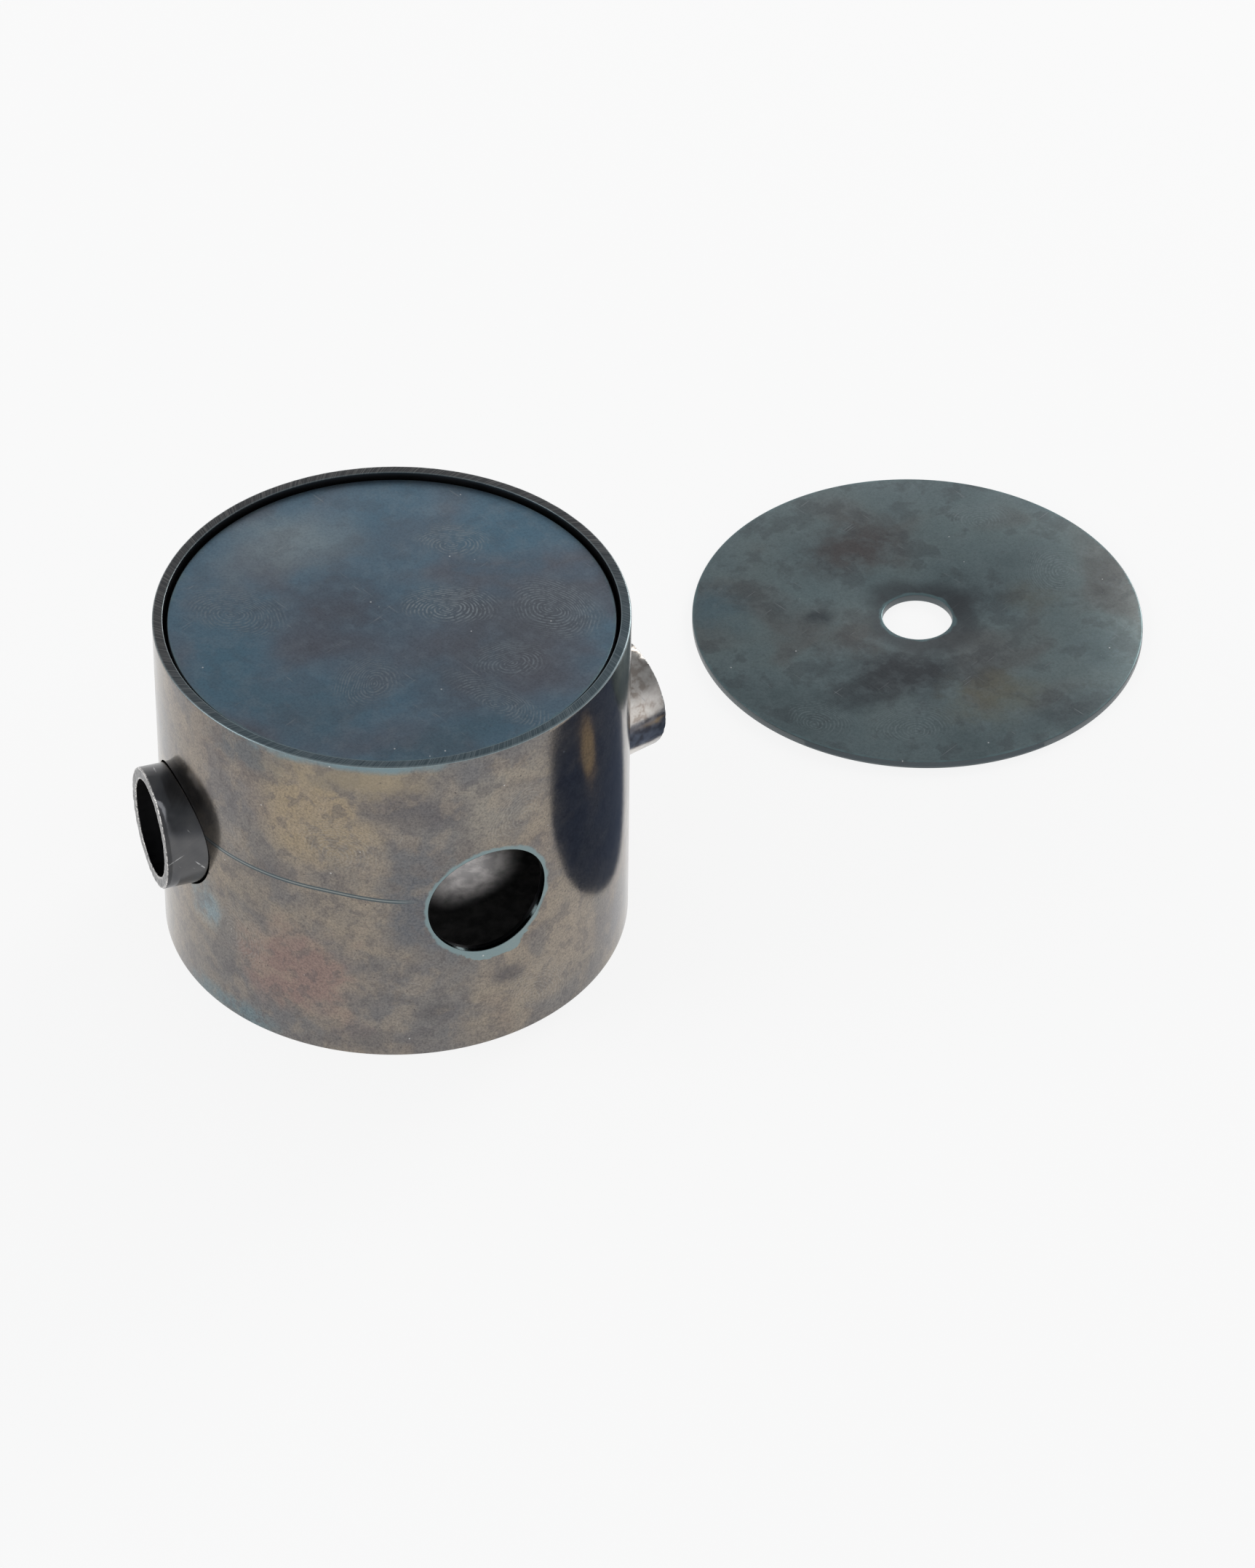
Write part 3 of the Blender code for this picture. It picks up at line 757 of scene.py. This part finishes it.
for side, (start, outward, _) in (("left", HOLES[1]), ("right", HOLES[2])):
    x_axis = Vector((0, 0, 1)).cross(outward).normalized()
    turn = Matrix((x_axis, outward.cross(x_axis), outward)).transposed().to_4x4()
    bore = STUB_RADIUS - STUB_WALL
    # Loops close behind the end, and two on its face, keep the saw marks and burrs there.
    loops = (-0.003, 0.0, 0.002, STUB_PROJECTION - 0.0004)
    section = rounded(STUB_RADIUS, -STUB_REACH_IN, STUB_PROJECTION, STUB_EDGE, loops=loops)
    section += [(STUB_RADIUS - 0.0004, STUB_PROJECTION), (bore + 0.0004, STUB_PROJECTION)]
    section += rounded(bore, -STUB_REACH_IN, STUB_PROJECTION, STUB_EDGE, outer=False,
                       loops=loops)
    stub = turned_piece(f"air_stub_{side}", section, 192)
    for name in STUB_AREAS:
        stub.data.attributes.new(name, "FLOAT", "POINT")
    layers = {layer.name: layer.data for layer in stub.data.attributes}
    for corner in stub.data.vertices:
        spread = corner.co.xy.length
        at_end = corner.co.z > STUB_PROJECTION - 1.2 * STUB_EDGE
        flat_end = bore + 0.0003 < spread < STUB_RADIUS - 0.0003
        inner = spread < bore + 0.00005
        layers["bare"][corner.index].value = 1.0 if at_end else 0.0
        layers["burr"][corner.index].value = 1.0 if at_end and not flat_end else 0.0
        layers["sooty"][corner.index].value = 1.0 if inner and not at_end else 0.0
        # The right stub's painted highlight fades out away from the drum.
        layers["painted_highlight"][corner.index].value = \
            max(0.0, 1.0 - max(corner.co.z, 0.0) / 0.008) if side == "right" else 0.0
        if at_end:
            direction = corner.co.xy.normalized()
            rough = noise.noise(Vector((direction.x * 14, direction.y * 14, spread * 1500)))
            low = 0.00012 + 0.00010 * direction.x
            corner.co.z -= low + 0.00006 * (1 + rough)
            corner.co.xy -= direction * 0.00004 * (1 + rough)
    stub.data.transform(Matrix.Translation(start) @ turn)
    stub.data.materials.append(stub_steel)
    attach(stub, "drum")
    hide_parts(f"air_tube_{side}")

# ------------------------------------------------------------------------------------------
# The weld beads: short tacks of rippled weld metal inside the drum, round both stubs, under
# the lugs and along the floor plate. They are grey-brown and scaled, not ground back.
weld_metal, tree, surface, place = steel("scaled_weld_metal")
cloud = use(tree, clouds, Place=place, Size=0.003)
colour = palette(tree, cloud["Mottle"], (0.2, 0.050, 0.048, 0.050), (0.6, 0.110, 0.100, 0.095),
                 (0.9, 0.230, 0.210, 0.190))
shine = plus(tree, 0.38, times(tree, cloud["Grain"], 0.2))
finish_surface(tree, surface, colour, shine, cloud["Mottle"], 0.5, 0.00008)


def finer_copy(node_name, name, cuts, soften):
    """A copy of a CAD node's solid, merged, cut finer and softened, ready to be worked on."""
    clear_selection()
    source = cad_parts[node_name]
    piece = bpy.data.objects.new(name, source.data.copy())
    piece.data.transform(source.matrix_world)
    piece.data.materials.clear()
    scene.collection.objects.link(piece)
    piece.select_set(True)
    bpy.context.view_layer.objects.active = piece
    bpy.ops.object.mode_set(mode="EDIT")
    bpy.ops.mesh.select_all(action="SELECT")
    bpy.ops.mesh.remove_doubles(threshold=0.00001)
    bpy.ops.mesh.subdivide(number_cuts=cuts)
    bpy.ops.mesh.vertices_smooth(factor=0.5, repeat=soften)
    bpy.ops.object.mode_set(mode="OBJECT")
    return piece


WELD_RIPPLE = 0.0007
for name in sorted(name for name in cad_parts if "_weld_" in name):
    weld = finer_copy(name, f"{name}_bead", 2, 4)
    middle = sum((corner.co for corner in weld.data.vertices), Vector()) / len(weld.data.vertices)
    spread = [max(abs(corner.co[axis] - middle[axis]) for corner in weld.data.vertices)
              for axis in range(3)]
    seam = spread.index(max(spread))
    for corner in weld.data.vertices:
        from_middle = corner.co - middle
        ripple = 0.5 + 0.5 * math.sin(from_middle[seam] * 2 * math.pi / WELD_RIPPLE)
        rough = 0.5 + 0.5 * noise.noise(corner.co * 900)
        corner.co = middle + from_middle * (1 - 0.05 * ripple - 0.05 * rough)
    bpy.ops.object.shade_smooth()
    weld.data.materials.append(weld_metal)
    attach(weld, "drum")
    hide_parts(name)

# ------------------------------------------------------------------------------------------
# The seat lugs: three small blocks cut from bar and tacked inside the rim, which the top
# plate rests on. Their edges are filed, and they are as black as the inside of the drum.
lug_black, tree, surface, place = steel("blackened_lug_steel")
cloud = use(tree, clouds, Place=place, Size=0.004)
colour = palette(tree, cloud["Mottle"], (0.2, 0.045, 0.046, 0.050), (0.8, 0.105, 0.102, 0.100))
shine = plus(tree, 0.34, times(tree, cloud["Broad"], 0.15))
finish_surface(tree, surface, colour, shine, cloud["Grain"], 0.4, 0.00004)
for name in sorted(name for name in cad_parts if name.startswith("seat_lug_")):
    lug = finer_copy(name, f"{name}_block", 0, 0)
    file_off = lug.modifiers.new("filed", "BEVEL")
    file_off.width = 0.0003
    file_off.segments = 3
    file_off.limit_method = "ANGLE"
    bpy.ops.object.modifier_apply(modifier=file_off.name)
    bpy.ops.object.shade_smooth_by_angle(angle=SMOOTH_ANGLE)
    lug.data.materials.append(lug_black)
    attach(lug, "drum")
    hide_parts(name)

# ------------------------------------------------------------------------------------------
# The top plate: a loose disc of sheet steel in the mouth of the drum, blued to slate and teal
# with charcoal clouds, rubbed smooth and covered in finger marks, with lightly filed edges.
TOP_PLATE_RADIUS = 0.0357
TOP_PLATE_THICKNESS = 0.0015
TOP_PLATE_TOP = DRUM_HEIGHT - 0.0010


def plate_look(material_parts, radius, colours, tints, mark_places, smear, dark, blotches,
               offset, hole_radius=0.0):
    """Clouded, finger-marked blued sheet, with its pattern centred by the offset.

    Tints: x, y, length, width, share and a colour. Smear is what rubbing leaves, and dark is
    the colour of the blotches and pits.
    """
    material, tree, surface, place = material_parts
    flat = put(tree, "ShaderNodeMapping", {"Vector": place, "Location": offset}).outputs[0]
    cloud = use(tree, clouds, Place=flat, Size=0.024)
    far = put(tree, "ShaderNodeMapping", {"Vector": flat, "Location": (0.53, 0.21, 0)})
    veil = use(tree, clouds, Place=far.outputs[0], Size=0.012)
    colour = palette(tree, cloud["Broad"], *colours)
    ragged = plus(tree, times(tree, veil["Broad"], 0.5), times(tree, veil["Mottle"], 0.3))
    for x, y, long_way, wide_way, share, tint in tints:
        mask = soft_oval(tree, flat, (x, y), (long_way, wide_way), ragged, 1.6, 0.4)
        colour = dab(tree, colour, mask, share, tint)
    colour = blend(tree, times(tree, fade(tree, veil["Mottle"], 0.45, 0.95), 0.15), colour, smear)
    colour = blend(tree, times(tree, fade(tree, cloud["Mottle"], 0.52, 0.85), blotches), colour,
                   dark)
    speckle = palette(tree, cloud["Grain"], (0.0, 0.80, 0.80, 0.82), (0.5, 1.0, 1.0, 1.0),
                      (1.0, 1.12, 1.12, 1.12))
    colour = blend(tree, 0.8, colour, speckle, "MULTIPLY")
    rub = use(tree, rubs, Place=flat, Turn=1.25)
    other = use(tree, rubs, Place=flat, Turn=-0.4)
    colour = blend(tree, times(tree, rub["Lines"], 0.07), colour, smear)
    scratches = times(tree, plus(tree, rub["Scratches"], other["Scratches"]),
                      fade(tree, cloud["Mottle"], 0.5, 0.8))
    colour = dab(tree, colour, scratches, 0.22, (0.55, 0.57, 0.59))
    shine = plus(tree, 0.27, times(tree, cloud["Mottle"], 0.08))
    colour, shine = marks(tree, flat, colour, shine, mark_places, tint=smear[:3])
    # The filed edges are paler and greener, and the cut sides are dark.
    spread = vectors(tree, "LENGTH", vectors(tree, "MULTIPLY", flat, (1, 1, 0)))
    wobble = times(tree, veil["Mottle"], 0.0006)
    edge = fade(tree, plus(tree, spread, wobble), radius - 0.0003, radius + 0.0004)
    side = fade(tree, spread, radius - 0.00012, radius - 0.00004)
    if hole_radius:
        halo = fade(tree, minus(tree, spread, times(tree, veil["Broad"], 0.003)),
                    hole_radius + 0.0040, hole_radius)
        colour = blend(tree, times(tree, halo, 0.65), colour, dark)
        at_hole = fade(tree, minus(tree, spread, wobble), hole_radius + 0.0005,
                       hole_radius + 0.0001)
        edge = maths(tree, "MAXIMUM", edge, at_hole)
        side = maths(tree, "MAXIMUM", side, fade(tree, spread, hole_radius + 0.00010,
                                                 hole_radius + 0.00003))
    colour = dab(tree, colour, edge, 0.6, (0.20, 0.31, 0.33))
    colour = dab(tree, colour, side, 0.9, (0.085, 0.098, 0.106))
    tree.links.new(minus(tree, 1.0, side), surface.inputs["Metallic"])
    dots = use(tree, motes, Place=flat)
    colour = blend(tree, times(tree, dots["Pits"], 0.30), colour, dark)
    colour = dab(tree, colour, dots["Dust"], 0.7, (1.0, 1.0, 1.0))
    relief = plus(tree, times(tree, veil["Grain"], 0.15), times(tree, scratches, -0.4))
    finish_surface(tree, surface, colour, shine, relief, 0.25, 0.00004)
    return material


low = TOP_PLATE_TOP - TOP_PLATE_THICKNESS
section = [(ON_AXIS, low)] + rounded(TOP_PLATE_RADIUS, low, TOP_PLATE_TOP, SHEET_EDGE)
section += [(ON_AXIS, TOP_PLATE_TOP)]
top_disc = turned_piece("top_disc", section, 288)
top_disc.data.materials.append(plate_look(
    steel("slate_blued_plate"), TOP_PLATE_RADIUS,
    ((0.0, 0.135, 0.240, 0.325), (0.35, 0.170, 0.262, 0.340), (0.6, 0.185, 0.230, 0.285),
     (0.8, 0.180, 0.200, 0.240), (1.0, 0.165, 0.230, 0.300)),
    # The first patch, pale at the back left, is a painted sheen standing for reflected light.
    ((-0.0080, 0.0235, 0.015, 0.009, 0.80, (0.330, 0.395, 0.425)),
     (0.0120, 0.0190, 0.012, 0.008, 0.65, (0.160, 0.205, 0.260)),
     (0.0230, 0.0130, 0.010, 0.014, 0.75, (0.125, 0.240, 0.330)),
     (-0.0280, -0.0020, 0.008, 0.016, 0.75, (0.135, 0.250, 0.330)),
     (-0.0065, 0.0040, 0.015, 0.013, 0.80, (0.155, 0.160, 0.190)),
     (0.0101, -0.0190, 0.018, 0.012, 0.70, (0.175, 0.172, 0.195)),
     (0.0200, -0.0080, 0.013, 0.009, 0.65, (0.165, 0.180, 0.205)),
     (-0.0200, -0.0190, 0.012, 0.010, 0.65, (0.140, 0.235, 0.300)),
     (-0.0040, -0.0320, 0.018, 0.005, 0.70, (0.125, 0.200, 0.250))),
    ((0.0095, -0.0005, 25, 0.0095, 0.0058, 2.0), (0.0170, 0.0142, 30, 0.0075, 0.0050, 1.3),
     (0.0250, -0.0080, 75, 0.0110, 0.0075, 1.2), (0.0074, -0.0259, 64, 0.0150, 0.0036),
     (-0.0220, 0.0120, 50, 0.0110, 0.0070), (-0.0100, -0.0130, -40, 0.0080, 0.0060),
     (0.0130, -0.0170, 10, 0.0075, 0.0055)),
    smear=(0.330, 0.375, 0.410, 1), dark=(0.120, 0.125, 0.145, 1), blotches=0.20,
    offset=(0, 0, 0)))
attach(top_disc, "top_plate")
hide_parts("top_plate")

# ------------------------------------------------------------------------------------------
# The vent plate: a separate disc of the same sheet with one hole drilled in its middle. It
# is blued to grey-green with brown and dark clouds, darkest round the hole.
VENT_PLATE_RADIUS = 0.0390
VENT_PLATE_THICKNESS = 0.0014
VENT_HOLE_RADIUS = 0.00605
low_corner, high_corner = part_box("vent_plate")
vent_centre = Vector(((low_corner[0] + high_corner[0]) / 2,
                      (low_corner[1] + high_corner[1]) / 2, 0))

section = rounded(VENT_PLATE_RADIUS, 0.0, VENT_PLATE_THICKNESS, SHEET_EDGE)
section += rounded(VENT_HOLE_RADIUS, 0.0, VENT_PLATE_THICKNESS, SHEET_EDGE, outer=False)
vent_disc = turned_piece("vent_disc", section, 288, Matrix.Translation(vent_centre))
vent_disc.data.materials.append(plate_look(
    steel("green_grey_blued_plate"), VENT_PLATE_RADIUS,
    ((0.0, 0.150, 0.195, 0.205), (0.35, 0.195, 0.250, 0.262), (0.6, 0.210, 0.262, 0.268),
     (0.8, 0.195, 0.215, 0.215), (1.0, 0.165, 0.175, 0.175)),
    ((0.0090, 0.0011, 0.010, 0.007, 0.75, (0.105, 0.118, 0.128)),
     (-0.0080, -0.0130, 0.016, 0.009, 0.95, (0.075, 0.080, 0.088)),
     (-0.0128, -0.0010, 0.008, 0.005, 0.60, (0.150, 0.125, 0.115)),
     (-0.0025, 0.0215, 0.013, 0.009, 0.85, (0.135, 0.112, 0.110)),
     (0.0015, -0.0245, 0.009, 0.008, 0.65, (0.230, 0.215, 0.155)),
     (0.0118, -0.0325, 0.009, 0.005, 0.60, (0.095, 0.105, 0.115)),
     (0.0202, -0.0027, 0.006, 0.006, 0.55, (0.190, 0.180, 0.145)),
     (-0.0312, 0.0175, 0.007, 0.012, 0.65, (0.125, 0.210, 0.255)),
     (-0.0150, 0.0120, 0.009, 0.008, 0.55, (0.215, 0.285, 0.300)),
     (0.0210, 0.0180, 0.012, 0.010, 0.50, (0.215, 0.285, 0.295)),
     (-0.0161, 0.0071, 0.0032, 0.0026, 0.90, (0.065, 0.078, 0.088))),
    ((-0.0270, -0.0175, 60, 0.0080, 0.0055), (-0.0137, -0.0250, 10, 0.0100, 0.0065),
     (0.0230, 0.0213, 20, 0.0075, 0.0050), (0.0270, 0.0020, -60, 0.0085, 0.0060)),
    smear=(0.275, 0.330, 0.345, 1), dark=(0.085, 0.092, 0.100, 1), blotches=0.38,
    offset=tuple(-vent_centre), hole_radius=VENT_HOLE_RADIUS))
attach(vent_disc, "vent_plate")
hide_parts("vent_plate")
